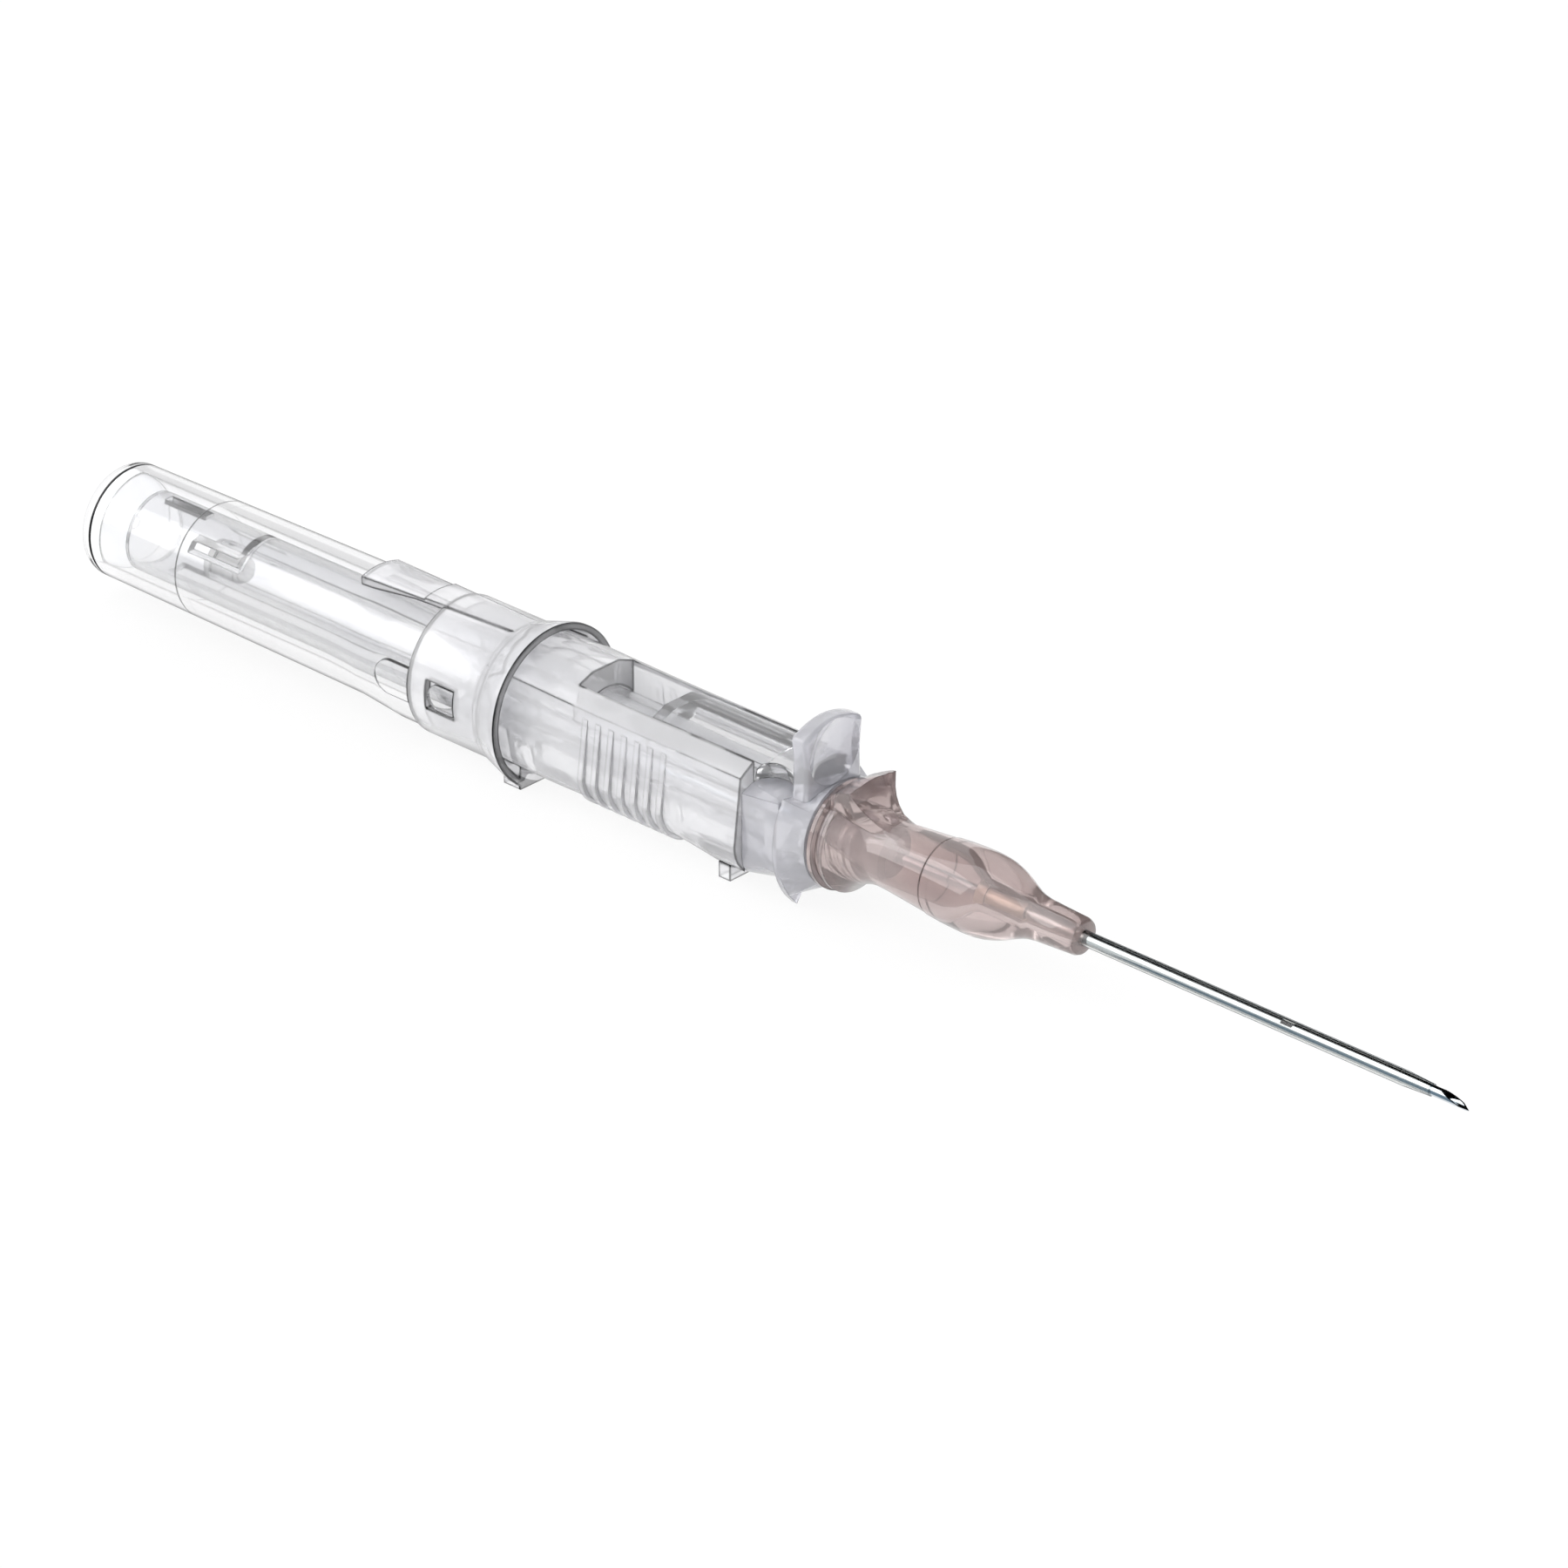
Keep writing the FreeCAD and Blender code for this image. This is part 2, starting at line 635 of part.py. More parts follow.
def makeCatheterHub():
    rimEnd = hubRimWidth
    grooveEnd = rimEnd + hubGrooveWidth
    secondEnd = grooveEnd + hubSecondRimWidth
    flareEnd = secondEnd + hubFlareLength
    flareMiddle = ((secondEnd + flareEnd) / 2, (hubSecondRimRadius + hubNeckRadius) / 2 - hubFlareSag)
    shoulderMiddle = ((hubShoulderStation + hubNoseStation) / 2, hubShoulderRadius)
    stepEnd = hubStepStation + hubEdge
    edges = pathEdges(lambda x, r: point(hubStart + x, 0, r), (0, 0), [
        (0, hubRimRadius - hubEdge),
        (hubEdge, hubRimRadius),
        (rimEnd - hubEdge, hubRimRadius),
        (rimEnd, hubGrooveRadius),
        (grooveEnd, hubGrooveRadius),
        (grooveEnd + hubEdge, hubSecondRimRadius),
        (secondEnd, hubSecondRimRadius),
        (flareMiddle, (flareEnd, hubNeckRadius)),
        (hubStepStation, hubBodyRadius),
        (hubStepStation, hubBodyRadius - hubStepGroove),
        (stepEnd, hubBodyRadius + hubStepGroove),
        (hubWideStation, hubWideRadius),
        (hubShoulderStation, hubWideRadius),
        (hubShoulderStation + hubEdge, hubWideRadius - hubEdge),
        shoulderMiddle,
        (hubNoseStation, hubNoseRearRadius),
        (hubLength - hubNoseRounding, hubNoseFrontRadius),
        (hubLength, hubNoseFrontRadius - hubNoseRounding),
        (hubLength, 0),
        (0, 0),
    ])
    body = Part.Face(Part.Wire(edges)).revolve(origin, alongX, 360)
    body = body.fuse(makeHubTab())
    throat = luerMouthRadius - luerDepth * luerTaper
    seatEnd = hubLength - catheterSeatFromNose
    socketRadius = catheterSocketRadius + seatGap
    tubeRadius = catheterRadius + seatGap
    bore = [(-beyond, 0), (-beyond, luerMouthRadius), (0, luerMouthRadius), (luerDepth, throat),
            (hubThroatStation, hubThroatRadius), (seatEnd - catheterSocketLength, socketRadius),
            (seatEnd - seatGap, socketRadius), (seatEnd + socketTaper, tubeRadius),
            (hubLength + beyond, tubeRadius), (hubLength + beyond, 0)]
    return body.cut(turned([(hubStart + x, r) for x, r in bore])).removeSplitter()


def makeHubTab():
    """Push tab on top of the flange, its front face sweeping down into the body."""
    rear = hubStart + hubEdge
    front = hubStart + hubTabFront
    low = hubTabRoot
    brow = ((rear + front) / 2, (hubRimRadius + hubTabHeight) / 2 + hubEdge)
    sweep = (front + hubTabSweep / 4, hubBodyRadius + (hubTabHeight - hubBodyRadius) / 3)
    edges = pathEdges(lambda x, z: point(x, -hubTabHalfWidth, z), (rear, low), [
        (rear, hubRimRadius),
        (brow, (front, hubTabHeight)),
        (sweep, (front + hubTabSweep, low)),
        (rear, low),
    ])
    tab = Part.Face(Part.Wire(edges)).extrude(point(0, 2 * hubTabHalfWidth, 0))
    shoulder = (hubTabHalfWidth, hubTabHeight - hubTabRounding)
    outline = mirroredSection(hubStart, (0, hubTabHeight + hubEdge), [
        ((hubTabHalfWidth * hubTabCrown, hubTabHeight), shoulder),
        ((hubTabHalfWidth - hubEdge, hubRimRadius - hubTabRounding), (hubTabHalfWidth, low)),
        (0, low),
    ])
    return tab.common(prism(outline, hubLength))


def makeCatheterTube():
    """Tapered at its tip, belled out where the eyelet wedges it into the hub."""
    end = totalLength - catheterTipFromEnd
    tipStart = end - catheterTipLength
    inner = catheterRadius - catheterWall
    belled = catheterSocketRadius - catheterWall
    outer = [(catheterRear, 0), (catheterRear, catheterSocketRadius), (eyeletFront, catheterSocketRadius),
             (eyeletFront + socketTaper, catheterRadius), (tipStart, catheterRadius),
             (end, inner + seatGap), (end, 0)]
    bore = [(catheterRear - beyond, 0), (catheterRear - beyond, belled), (eyeletFront, belled),
            (eyeletFront + socketTaper, inner), (end + beyond, inner), (end + beyond, 0)]
    return tube(outer, bore)


def makeEyelet():
    """Flared metal sleeve that wedges the catheter's belled end into the hub."""
    outer = catheterSocketRadius - catheterWall - seatGap
    start = catheterRear - eyeletFlareLength
    flared = outer + eyeletFlare
    return turned([(start, flared), (catheterRear - seatGap, outer), (eyeletFront - seatGap, outer),
                   (eyeletFront - seatGap, outer - eyeletWall), (catheterRear, outer - eyeletWall),
                   (start, flared - eyeletWall)])


nodes = {
    "rear_barrel": makeRearBarrel(),
    "end_cap": makeEndCap(),
    "front_channel": makeFrontChannel(),
    "needle_hub": makeNeedleHub(),
    "flash_plug": makeFlashPlug(),
    "needle": makeNeedle(),
    "needle_guard": makeNeedleGuard(),
    "guard_nose": makeGuardNose(),
    "catheter_hub": makeCatheterHub(),
    "catheter_tube": makeCatheterTube(),
    "catheter_eyelet": makeEyelet(),
}

os.makedirs("parts", exist_ok=True)
for name, solid in nodes.items():
    solid.translate(point(-totalLength / 2, 0, axisHeight))
    solid.exportStep("parts/" + name + ".step")
    box = solid.BoundBox
    print(name, len(solid.Solids), solid.isValid(), round(solid.Volume, 2),
          [round(v, 2) for v in (box.XMin, box.XMax, box.YMin, box.YMax, box.ZMin, box.ZMax)])
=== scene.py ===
import math

import bpy
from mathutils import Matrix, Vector


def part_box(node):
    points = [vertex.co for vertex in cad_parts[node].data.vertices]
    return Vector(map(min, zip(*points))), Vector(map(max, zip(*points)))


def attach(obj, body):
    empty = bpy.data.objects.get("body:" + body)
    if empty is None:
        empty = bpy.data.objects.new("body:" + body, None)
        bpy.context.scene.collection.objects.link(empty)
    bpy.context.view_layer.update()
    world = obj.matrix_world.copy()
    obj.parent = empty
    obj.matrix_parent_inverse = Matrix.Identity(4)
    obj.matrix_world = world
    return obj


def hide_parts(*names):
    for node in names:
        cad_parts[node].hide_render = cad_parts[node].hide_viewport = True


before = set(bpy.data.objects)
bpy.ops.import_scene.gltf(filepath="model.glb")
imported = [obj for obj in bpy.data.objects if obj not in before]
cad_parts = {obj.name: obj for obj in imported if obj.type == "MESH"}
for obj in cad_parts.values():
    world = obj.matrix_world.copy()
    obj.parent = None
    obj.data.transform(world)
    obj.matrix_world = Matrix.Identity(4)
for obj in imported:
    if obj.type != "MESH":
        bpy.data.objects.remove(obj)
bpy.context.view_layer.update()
bpy.ops.object.select_all(action="DESELECT")
mm = 0.001
needleHeight = 5.4 * mm  # the needle's line above the floor
nearly = 0.001 * mm  # how close two points lie that count as one
print("frame loaded:", len(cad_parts), "nodes")


# Shader maths as plain expressions
class Signal:
    def __init__(self, finish, socket):
        self.finish = finish
        self.socket = socket

    def math(self, operation, first, second):
        return self.finish.add("Math", {"operation": operation}, {0: first, 1: second})

    def __add__(self, other):
        return self.math("ADD", self, other)

    def __radd__(self, other):
        return self.math("ADD", other, self)

    def __sub__(self, other):
        return self.math("SUBTRACT", self, other)

    def __rsub__(self, other):
        return self.math("SUBTRACT", other, self)

    def __mul__(self, other):
        return self.math("MULTIPLY", self, other)

    def __rmul__(self, other):
        return self.math("MULTIPLY", other, self)

    def __truediv__(self, other):
        return self.math("DIVIDE", self, other)

    def orMore(self, other):
        return self.math("MAXIMUM", self, other)

    def clipped(self):
        return self.math("MINIMUM", self.orMore(0.0), 1.0)

    def between(self, low, high):
        return ((self - low) / (high - low)).clipped()

    def within(self, low, high, blur):
        return self.between(low - blur, low) * (1.0 - self.between(high, high + blur))


class Finish:
    def __init__(self, name, kind="materials"):
        self.owner = getattr(bpy.data, kind).new(name)
        self.owner.use_nodes = True
        self.tree = self.owner.node_tree
        self.tree.nodes.clear()

    def add(self, kind, settings=None, sockets=None, output=0):
        made = self.tree.nodes.new("ShaderNode" + kind)
        for name, value in (settings or {}).items():
            setattr(made, name, value)
        for name, value in (sockets or {}).items():
            if isinstance(value, Signal):
                self.tree.links.new(value.socket, made.inputs[name])
            else:
                made.inputs[name].default_value = value
        return Signal(self, made.outputs[output])

    def place(self):
        return self.add("TexCoord", {}, {}, "Object")

    def axes(self, place):
        return [self.add("SeparateXYZ", {}, {0: place}, axis) for axis in ("X", "Y", "Z")]

    def noise(self, place, stretch, detail=3.0, roughness=0.5):
        spread = self.add("Mapping", {}, {"Vector": place, "Scale": stretch})
        return self.add("TexNoise", {}, {
            "Vector": spread, "Scale": 1.0, "Detail": detail, "Roughness": roughness})

    def blend(self, share, first, second):
        return self.add("Mix", {"data_type": "RGBA"}, {0: share, 6: first, 7: second}, 2)

    def edges(self, radius, gain):
        rounded = self.add("Bevel", {"samples": 4}, {"Radius": radius})
        flat = self.add("NewGeometry", {}, {}, "Normal")
        agree = self.add("VectorMath", {"operation": "DOT_PRODUCT"}, {0: rounded, 1: flat}, "Value")
        return ((1.0 - agree) * gain).clipped()

    def rim(self, low, high):
        return self.add("LayerWeight", {}, {"Blend": 0.5}, "Facing").between(low, high)

    def outside(self):
        return 1.0 - self.add("NewGeometry", {}, {}, "Backfacing")

    def show(self, shader, end="OutputMaterial"):
        made = self.tree.nodes.new("ShaderNode" + end)
        self.tree.links.new(shader.socket, made.inputs["Surface"])
        return self.owner


# Painted shade: dark lines at a clear moulding's edges and grazing rims, standing in for the dark
# surroundings its edges refract, fading in and out along their way
def paintedEdgeShade(finish, place, look):
    weight = finish.noise(place, look["lineBreaks"], 1.0).between(*look["breakRange"])
    faded = weight * look["edgeFade"] + (1.0 - look["edgeFade"])
    line = finish.edges(look["edgeRadius"], look["edgeGain"]) * faded
    if "quiet" in look:  # softer lines between two stations, among the ribs
        rear, front, blur, softer = look["quiet"]
        along = finish.axes(place)[0]
        line = line * (1.0 - along.within(rear, front, blur) * softer)
    # painted shade towards grazing angles, where clear walls refract dark surroundings
    line = line.orMore(look["rimShare"] * finish.rim(*look["rim"]))
    if "ring" in look:  # a painted dark line (painted shade) around one rim, seen from outside only
        station, half, blur, inner = look["ring"]
        along, across, upward = finish.axes(place)
        rise = upward - needleHeight
        square = across * across + rise * rise
        ring = along.within(station - half, station + half, blur)
        ring = ring * square.between(inner ** 2, (inner + blur) ** 2)
        faded = weight * look["ringFade"] + (1.0 - look["ringFade"])
        line = line.orMore(ring * finish.outside() * faded)
    return line


def mouldedPlastic(name, look):
    finish = Finish(name)
    place = finish.place()
    flow = finish.noise(place, look["flow"])  # lengthwise lines from the melt's flow
    cloud = finish.noise(place, look["cloud"], 2.0)
    scratches = finish.noise(place, look["scratches"], 4.0, 0.7).between(*look["scratchRange"])
    line = paintedEdgeShade(finish, place, look)
    body = finish.blend(cloud.between(*look["cloudRange"]), look["pale"], look["shade"])
    # Painted shade: the edge lines darken the colour towards the edge colour
    colour = finish.blend(line * look["edgeShare"], body, look["edge"])
    waves = flow * look["flowShare"] + cloud * (1.0 - look["flowShare"])
    relief = finish.add("Bump", {}, {
        "Strength": look["waviness"], "Distance": look["waveDepth"], "Height": waves})
    # Emission of the body colour, by glow: painted light where glow is above zero
    plastic = finish.add("BsdfPrincipled", {}, {
        "Base Color": colour, "Roughness": look["roughness"] + scratches * look["scuffed"],
        "IOR": look["bend"], "Transmission Weight": look["clear"], "Coat Weight": look["coat"],
        "Coat Roughness": look["coatRoughness"], "Emission Color": body, "Emission Strength": look["glow"],
        "Normal": relief})
    # Painted shade: a dark matt shader mixed in along the edge lines
    dark = finish.add("BsdfDiffuse", {}, {"Color": look["edge"]})
    mixed = finish.add("MixShader", {}, {0: line * look["lineShare"], 1: plastic, 2: dark})
    return finish.show(mixed)


def drawnSteel(name, look):
    finish = Finish(name)
    place = finish.place()
    grain = finish.noise(place, look["grain"], 2.0)
    stain = finish.noise(place, look["stain"])
    colour = finish.blend((grain + stain) * 0.5, look["light"], look["dark"])
    return finish.show(finish.add("BsdfPrincipled", {}, {
        "Base Color": colour, "Metallic": 1.0, "Roughness": look["roughness"] + grain * look["grained"]}))


# A merged copy of a node's own mesh, shown in its place
def dressed(node, angle):
    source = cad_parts[node]
    piece = source.copy()
    piece.data = source.data.copy()
    piece.name = node + "_shown"
    for key in list(piece.keys()):
        if key.startswith("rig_"):
            del piece[key]
    piece.parent = None
    bpy.context.scene.collection.objects.link(piece)
    bpy.ops.object.select_all(action="DESELECT")
    bpy.context.view_layer.objects.active = piece
    piece.select_set(True)
    bpy.ops.object.mode_set(mode="EDIT")
    bpy.ops.mesh.select_all(action="SELECT")
    bpy.ops.mesh.remove_doubles(threshold=2.0 * nearly)
    bpy.ops.object.mode_set(mode="OBJECT")
    piece.data.materials.clear()
    if piece.data.has_custom_normals:
        bpy.ops.mesh.customdata_custom_splitnormals_clear()
    bpy.ops.object.shade_smooth_by_angle(angle=math.radians(angle))
    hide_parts(node)
    piece.select_set(False)
    return piece


def pick(piece, test):
    bpy.ops.mesh.select_all(action="DESELECT")
    bpy.ops.object.mode_set(mode="OBJECT")
    for vertex in piece.data.vertices:
        vertex.select = test(vertex.co)
    bpy.ops.object.mode_set(mode="EDIT")


# Catheter hub: a ring drawn out along the profile and down the bore, then its tab raised from the
# rings in nested arcs. Stations run from its rear end and radii from the needle's line, in millimetres.
hubForm = {
    "sides": 96,
    "outside": [
        (0.0, 3.93), (0.15, 4.08), (0.5, 4.08), (0.65, 3.72), (0.95, 3.72), (1.1, 3.92), (1.4, 3.92),
        (1.7, 3.59), (2.0, 3.33), (2.3, 3.11), (2.6, 2.93), (2.75, 2.85), (2.95, 2.76), (3.3, 2.63),
        (3.8, 2.5), (4.4, 2.44), (5.4, 2.49), (7.4, 2.66), (9.35, 2.83), (9.42, 2.75), (9.5, 2.9),
        (10.5, 2.98), (11.6, 3.03), (12.6, 3.05), (13.5, 3.0), (14.2, 2.89), (14.9, 2.7),
        (15.6, 2.44), (16.3, 2.12), (17.0, 1.82), (17.6, 1.64), (18.3, 1.54), (20.0, 1.45),
        (21.65, 1.37), (21.9, 1.25), (22.0, 1.02)],
    "bore": [
        (22.0, 0.58), (17.6, 0.58), (17.07, 0.81), (13.4, 0.81), (12.9, 0.95), (12.2, 1.35),
        (11.2, 1.7), (9.8, 1.85), (0.0, 2.14)],
    "tab": [
        (0.5, 4.3), (0.65, 4.42), (0.95, 4.66), (1.1, 4.76), (1.4, 4.95), (1.7, 5.1), (2.0, 5.24),
        (2.3, 5.35), (2.6, 5.42), (2.75, 5.0), (2.95, 4.45), (3.3, 3.85), (3.8, 3.3), (4.4, 2.85)],
    "arcs": [(35.0, 0.3), (31.0, 0.45), (28.0, 0.25)],  # half angle in degrees, share of the rise
    "crown": [(24.0, 0.975), (16.0, 0.975)],  # half angle in degrees, hollow of the tab's edge
    "boreLimit": 2.3,
    "smooth": 30.0,
}


def raiseTab(hub, form):
    outer = dict(form["outside"])
    boreLimit = form["boreLimit"] * mm
    for station, height in form["tab"]:
        arcs = [(half, (height / outer[station]) ** share) for half, share in form["arcs"]]
        for half, grow in arcs + form["crown"]:
            reach = math.radians(half)
            pick(hub, lambda v: abs(v.x - station * mm) < nearly
                 and math.hypot(v.y, v.z) > boreLimit and abs(math.atan2(v.y, v.z)) < reach)
            bpy.ops.transform.resize(value=(1.0, grow, grow), center_override=(station * mm, 0.0, 0.0))


def makeHub(form):
    first = form["outside"][0]
    bpy.ops.mesh.primitive_circle_add(
        vertices=form["sides"], radius=first[1] * mm, fill_type="NOTHING",
        location=(0.0, 0.0, 0.0), rotation=(0.0, math.pi / 2, 0.0))
    hub = bpy.context.active_object
    hub.name = "catheter_hub_shown"
    bpy.ops.object.transform_apply(rotation=True)
    bpy.ops.object.mode_set(mode="EDIT")
    bpy.ops.mesh.select_mode(type="VERT")
    bpy.ops.mesh.select_all(action="SELECT")
    last = first
    for step in form["outside"][1:] + form["bore"]:
        bpy.ops.mesh.extrude_region_move(
            TRANSFORM_OT_translate={"value": ((step[0] - last[0]) * mm, 0.0, 0.0)})
        grow = step[1] / last[1]
        bpy.ops.transform.resize(value=(1.0, grow, grow), center_override=(step[0] * mm, 0.0, 0.0))
        last = step
    pick(hub, lambda v: abs(v.x) < nearly)
    bpy.ops.mesh.bridge_edge_loops()
    raiseTab(hub, form)
    bpy.ops.mesh.select_all(action="SELECT")
    bpy.ops.mesh.remove_doubles(threshold=nearly)
    bpy.ops.mesh.normals_make_consistent(inside=False)
    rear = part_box("catheter_hub")[0][0]
    bpy.ops.transform.translate(value=(rear, 0.0, needleHeight))
    bpy.ops.object.mode_set(mode="OBJECT")
    bpy.ops.object.shade_smooth_by_angle(angle=math.radians(form["smooth"]))
    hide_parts("catheter_hub")
    hub.select_set(False)
    return hub


# Guard nose: its flat faces joined and its edges rounded, in millimetres and degrees
noseForm = {"flat": 2.0, "width": 0.22, "segments": 3, "sharp": 30.0, "smooth": 50.0}


def softened(piece, form):
    bpy.context.view_layer.objects.active = piece
    piece.select_set(True)
    bpy.ops.object.mode_set(mode="EDIT")
    bpy.ops.mesh.select_all(action="SELECT")
    bpy.ops.mesh.dissolve_limited(angle_limit=math.radians(form["flat"]))
    bpy.ops.object.mode_set(mode="OBJECT")
    rounding = piece.modifiers.new("rounding", "BEVEL")
    rounding.width = form["width"] * mm
    rounding.segments = form["segments"]
    rounding.limit_method = "ANGLE"
    rounding.angle_limit = math.radians(form["sharp"])
    rounding.miter_outer = "MITER_ARC"
    bpy.ops.object.modifier_apply(modifier="rounding")
    bpy.ops.object.shade_smooth_by_angle(angle=math.radians(form["smooth"]))
    piece.select_set(False)


# Finishes. Colours as they render, sizes and stations in metres, scales in waves per metre.
# A ring is a painted dark line: its station, half width, blur and least radius; a quiet zone its two ends,
# blur and share.
# Each finish's edge colour is the painted shade of its edge lines, rims and rings
clearLook = {
    "pale": (1.0, 1.0, 1.0, 1.0), "shade": (0.975, 0.975, 0.985, 1.0), "edge": (0.004, 0.004, 0.005, 1.0),
    "edgeRadius": 0.00013, "edgeGain": 14.0, "edgeShare": 1.0, "rim": (0.78, 0.96), "rimShare": 0.7,
    "lineBreaks": (170.0, 120.0, 120.0), "lineShare": 0.75, "flow": (20.0, 500.0, 500.0),
    "cloud": (90.0, 260.0, 260.0), "scratches": (500.0, 4500.0, 4500.0), "waviness": 0.0015,
    "roughness": 0.02, "scuffed": 0.02, "bend": 1.45, "clear": 1.0, "coat": 0.0, "glow": 0.0,
    "breakRange": (0.3, 0.6), "cloudRange": (0.35, 0.65), "scratchRange": (0.5, 0.75), "edgeFade": 0.7,
    "ringFade": 0.3, "flowShare": 0.6, "waveDepth": 0.0002, "coatRoughness": 0.05,
}
# Barrel: a painted dark ring near its rear end, painted shade for the dark line seen there through the clear
# wall
barrelLook = {**clearLook, "lineShare": 0.95, "ring": (-0.0634, 0.0001, 0.00005, 0.0038)}
# Channel: a painted dark ring at the collar's rim, painted shade for the dark line of its rounded lip
channelLook = {
    **clearLook, "pale": (0.985, 0.985, 1.0, 1.0), "shade": (0.955, 0.955, 0.975, 1.0), "clear": 0.68,
    "roughness": 0.03, "rimShare": 0.4, "edgeRadius": 0.00025, "edgeGain": 26.0, "lineShare": 0.95,
    "quiet": (-0.0122, -0.0024, 0.0005, 0.8), "ring": (-0.01834, 0.00006, 0.00005, 0.0056),
}
guardLook = {
    **clearLook, "pale": (0.98, 0.98, 0.99, 1.0), "shade": (0.94, 0.945, 0.96, 1.0), "clear": 0.9,
    "roughness": 0.08, "rimShare": 0.35, "edgeShare": 0.6,
}
# End cap: painted light, it glows with its own colour (glow) to look brighter behind the barrel's glass
capLook = {
    **guardLook, "pale": (1.0, 1.0, 1.0, 1.0), "shade": (0.97, 0.975, 0.985, 1.0), "clear": 0.3,
    "roughness": 0.15, "edgeShare": 1.0, "edgeRadius": 0.0002, "edgeGain": 22.0, "lineShare": 0.95,
    "glow": 0.3,
}
plugLook = {
    **guardLook, "pale": (0.92, 0.92, 0.91, 1.0), "shade": (0.84, 0.84, 0.83, 1.0), "clear": 0.0,
    "roughness": 0.6, "scratches": (2500.0, 2500.0, 2500.0), "scuffed": 0.2, "waviness": 0.3,
}
noseLook = {
    **clearLook, "pale": (0.8, 0.8, 0.84, 1.0), "shade": (0.7, 0.7, 0.75, 1.0),
    "edge": (0.1, 0.1, 0.12, 1.0), "edgeShare": 0.5, "clear": 0.6, "roughness": 0.04, "coat": 1.0,
    "lineShare": 0.3, "rim": (0.7, 1.0),
}
hubLook = {
    **clearLook, "pale": (0.76, 0.65, 0.63, 1.0), "shade": (0.54, 0.43, 0.42, 1.0),
    "edge": (0.02, 0.006, 0.006, 1.0), "edgeShare": 0.9, "lineShare": 0.5, "edgeGain": 9.0,
    "clear": 0.8, "roughness": 0.05, "coat": 0.6,
}
# Catheter tube: painted shade, its rims darken to blue-grey towards grazing angles
tubeLook = {
    **clearLook, "pale": (0.99, 0.985, 0.96, 1.0), "shade": (0.96, 0.955, 0.93, 1.0),
    "edge": (0.03, 0.07, 0.1, 1.0), "rim": (0.35, 0.8), "rimShare": 0.85, "lineShare": 0.25,
    "roughness": 0.0, "scuffed": 0.01, "waviness": 0.0005,
}
steelLook = {
    "light": (0.66, 0.71, 0.75, 1.0), "dark": (0.52, 0.57, 0.61, 1.0), "roughness": 0.03,
    "grain": (90.0, 7000.0, 7000.0), "stain": (260.0, 260.0, 260.0), "grained": 0.03,
}
eyeletLook = {
    **steelLook, "light": (1.0, 0.96, 0.86, 1.0), "dark": (0.9, 0.85, 0.74, 1.0), "roughness": 0.3,
}

pieces = {
    "rear_barrel": ("handle", "clear_handle", mouldedPlastic("clear_handle", barrelLook)),
    "end_cap": ("handle", "frosted_white", mouldedPlastic("frosted_white", capLook)),
    "front_channel": ("handle", "clear_handle", mouldedPlastic("clear_channel", channelLook)),
    "needle_hub": ("handle", "clear_chamber", mouldedPlastic("clear_chamber", clearLook)),
    "flash_plug": ("handle", "porous_white", mouldedPlastic("porous_white", plugLook)),
    "needle": ("handle", "needle_steel", drawnSteel("needle_steel", steelLook)),
    "needle_guard": ("guard", "frosted_guard", mouldedPlastic("frosted_guard", guardLook)),
    "guard_nose": ("guard", "grey_blue_nose", mouldedPlastic("grey_blue_nose", noseLook)),
    "catheter_hub": ("catheter", "pink_hub", mouldedPlastic("pink_hub", hubLook)),
    "catheter_tube": ("catheter", "catheter_polymer", mouldedPlastic("catheter_polymer", tubeLook)),
    "catheter_eyelet": ("catheter", "eyelet_steel", drawnSteel("eyelet_steel", eyeletLook)),
}
creaseAngle = 28.0
for node, (body, slotName, material) in pieces.items():
    piece = makeHub(hubForm) if node == "catheter_hub" else dressed(node, creaseAngle)
    if node == "guard_nose":
        softened(piece, noseForm)
    piece.data.materials.append(material)
    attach(piece, body)
print("pieces dressed:", len(pieces))

# Floor: white paper that keeps a faint shadow. It glows for the camera, gloss and refraction.
paperLook = {"size": 6.0, "paper": (0.9, 0.9, 0.9, 1.0), "shadowShare": 0.1, "throughShare": 0.2}
paper = Finish("studio_floor")
camera, gloss, through = [
    paper.add("LightPath", {}, {}, way) for way in ("Is Camera Ray", "Is Glossy Ray", "Is Transmission Ray")]
matt = paper.add("BsdfDiffuse", {}, {"Color": paperLook["paper"]})
glow = paper.add("Emission", {}, {"Color": (1.0, 1.0, 1.0, 1.0)})
inside = (gloss + through).clipped() * (1.0 - camera) * (1.0 - paperLook["throughShare"])
share = camera * (1.0 - paperLook["shadowShare"]) + inside
bpy.ops.mesh.primitive_plane_add(size=paperLook["size"], location=(0.0, 0.0, 0.0))
floor = bpy.context.active_object
floor.name = "studio_floor"
floor.data.materials.append(paper.show(paper.add("MixShader", {}, {0: share, 1: matt, 2: glow})))
floor.select_set(False)


# Cards that only gloss and refraction see, in millimetres: each is a plane stretched and moved into place
def makeCard(name, turn, size, centre):
    bpy.ops.mesh.primitive_plane_add(size=1.0, location=(0.0, 0.0, 0.0), rotation=turn)
    card = bpy.context.active_object
    card.name = name
    bpy.ops.object.transform_apply(rotation=True)
    bpy.ops.object.mode_set(mode="EDIT")
    bpy.ops.mesh.select_all(action="SELECT")
    bpy.ops.transform.resize(value=size, center_override=(0.0, 0.0, 0.0))
    bpy.ops.transform.translate(value=centre)
    card.visible_camera = False
    card.visible_diffuse = False
    card.visible_shadow = False
    return card


def coverCard(card, name, fineness, dark, light):
    bpy.ops.object.mode_set(mode="OBJECT")
    card.select_set(False)
    cloth = Finish(name)
    nap = cloth.noise(cloth.place(), (fineness, fineness, fineness))
    tone = cloth.blend(nap, dark, light)
    card.data.materials.append(cloth.show(cloth.add("BsdfDiffuse", {}, {"Color": tone})))


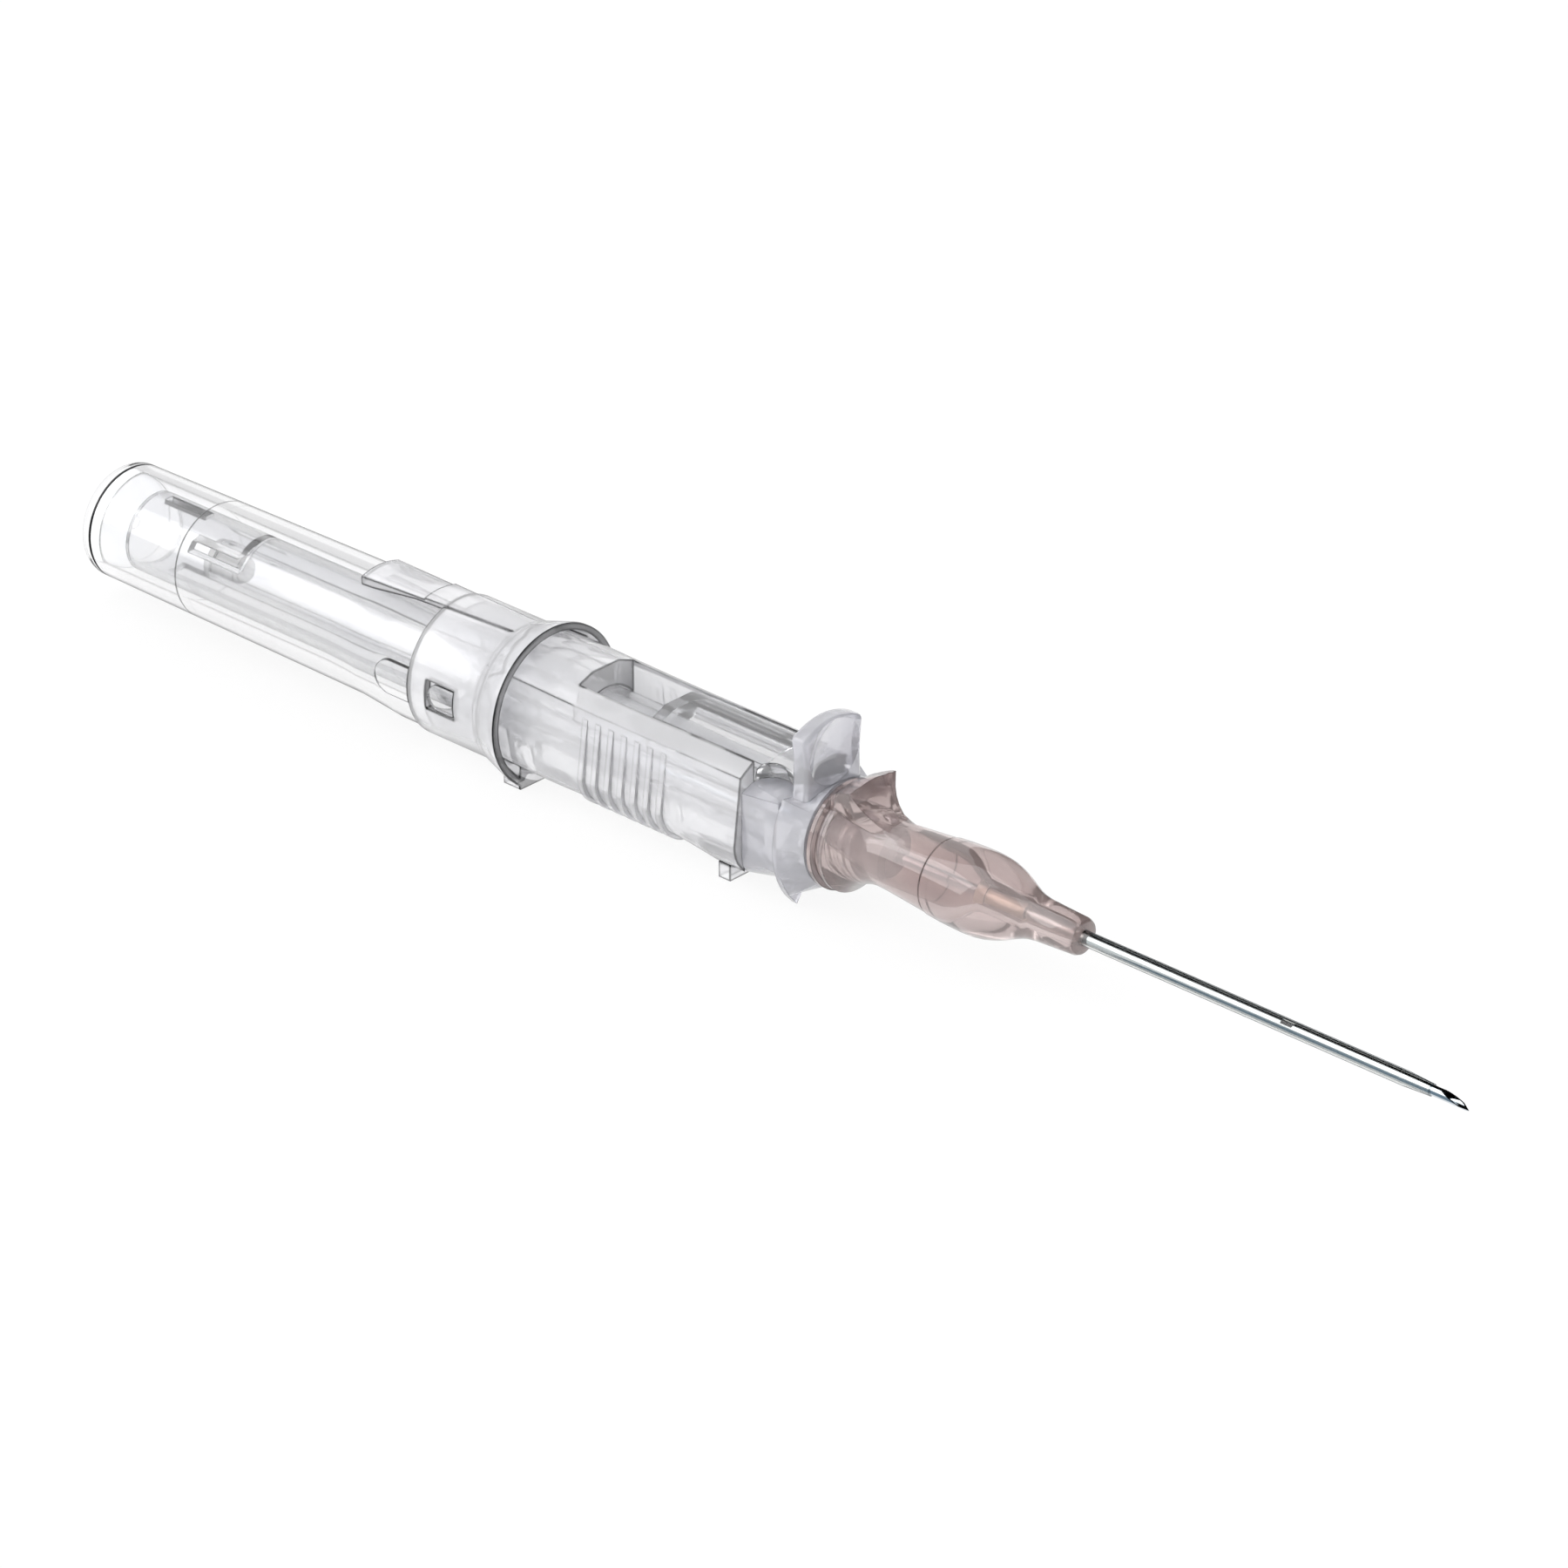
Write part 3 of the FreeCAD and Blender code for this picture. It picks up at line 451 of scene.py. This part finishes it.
# A dark card behind the needle, with a roof towards it, gives the steel its dark line
backForm = {"rearX": 6.0, "frontX": 75.0, "backY": 30.0, "innerY": 1.0, "low": 1.0, "high": 42.0}
backCard = makeCard(
    "dark_card", (math.pi / 2, 0.0, 0.0),
    ((backForm["frontX"] - backForm["rearX"]) * mm, 1.0, (backForm["high"] - backForm["low"]) * mm),
    ((backForm["frontX"] + backForm["rearX"]) / 2 * mm, backForm["backY"] * mm,
     (backForm["high"] + backForm["low"]) / 2 * mm))
bpy.ops.mesh.select_mode(type="EDGE")
pick(backCard, lambda v: v.z > backForm["high"] * mm - nearly)
bpy.ops.mesh.extrude_region_move(
    TRANSFORM_OT_translate={"value": (0.0, (backForm["innerY"] - backForm["backY"]) * mm, 0.0)})
coverCard(backCard, "black_velvet", 900.0, (0.002, 0.002, 0.002, 1.0), (0.006, 0.006, 0.006, 1.0))

# A blue-grey card on the floor in front of the needle, for the steel's lower half
lowForm = {"rearX": 31.5, "frontX": 72.0, "nearY": -2.0, "farY": -70.0, "height": 0.3}
lowCard = makeCard(
    "low_card", (0.0, 0.0, 0.0),
    ((lowForm["frontX"] - lowForm["rearX"]) * mm, (lowForm["nearY"] - lowForm["farY"]) * mm, 1.0),
    ((lowForm["frontX"] + lowForm["rearX"]) / 2 * mm, (lowForm["nearY"] + lowForm["farY"]) / 2 * mm,
     lowForm["height"] * mm))
coverCard(lowCard, "slate_card", 700.0, (0.16, 0.22, 0.27, 1.0), (0.2, 0.26, 0.31, 1.0))

# The room: white, with a soft grey band behind the object that gives clear walls their dark lines
room = {
    "white": (1.0, 1.0, 1.0, 1.0), "band": (0.0, 0.0, 0.01, 1.0), "strength": 1.0, "bandShare": 0.22,
    "bandLow": 0.05, "bandHigh": 0.5, "bandBlur": 0.1, "behind": 0.0, "sideBlur": 0.25, "throughBand": 0.6,
}
sky = Finish("studio_room", "worlds")
aim = sky.axes(sky.add("TexCoord", {}, {}, "Generated"))
refracted = sky.add("LightPath", {}, {}, "Is Transmission Ray") * room["throughBand"]
mirrored = (sky.add("LightPath", {}, {}, "Glossy Depth") + refracted).clipped()
band = aim[2].within(room["bandLow"], room["bandHigh"], room["bandBlur"])
band = band * aim[1].between(room["behind"], room["behind"] + room["sideBlur"])
tone = sky.blend(band * room["bandShare"] * mirrored, room["white"], room["band"])
lit = sky.add("Background", {}, {"Color": tone, "Strength": room["strength"]})
bpy.context.scene.world = sky.show(lit, "OutputWorld")

# Lamps: a large soft one above, a lower one beside the handle and a small one for the tabs
lamps = {
    "softbox": {"place": (-0.3, -0.35, 0.7), "size": 0.7, "power": 2.0},
    "strip": {"place": (-0.56, -0.6, 0.42), "size": 0.6, "power": 2.4},
    "tabLight": {"place": (0.7, 0.22, 0.2), "size": 0.3, "power": 1.2},
}
for name, lamp in lamps.items():
    light = bpy.data.lights.new(name, "AREA")
    light.energy = lamp["power"]
    light.size = lamp["size"]
    holder = bpy.data.objects.new(name, light)
    bpy.context.scene.collection.objects.link(holder)
    holder.location = lamp["place"]
    holder.rotation_euler = Vector(lamp["place"]).to_track_quat("Z", "Y").to_euler()

# Camera, at the photograph's angle; distances in millimetres
view = {
    "azimuth": 43.0, "elevation": 27.8, "distance": 460.0, "lens": 150.9, "sensor": 36.0,
    "target": (4.25, 0.0, 5.4), "rise": 1.55, "nearest": 10.0,
}
around = math.radians(view["azimuth"])
height = math.radians(view["elevation"])
back = Vector((math.sin(around) * math.cos(height), -math.cos(around) * math.cos(height), math.sin(height)))
right = Vector((math.cos(around), math.sin(around), 0.0))
up = back.cross(right)
eye = bpy.data.objects.new("camera", bpy.data.cameras.new("camera"))
bpy.context.scene.collection.objects.link(eye)
eye.data.lens = view["lens"]
eye.data.sensor_width = view["sensor"]
eye.data.clip_start = view["nearest"] * mm
eye.location = (Vector(view["target"]) + up * view["rise"] + back * view["distance"]) * mm
eye.rotation_euler = back.to_track_quat("Z", "Y").to_euler()

scene = bpy.context.scene
scene.camera = eye
scene.view_settings.view_transform = "Standard"
scene.cycles.max_bounces = 20
scene.cycles.transmission_bounces = 18
scene.cycles.transparent_max_bounces = 8
print("studio and camera set")

print("scene done")
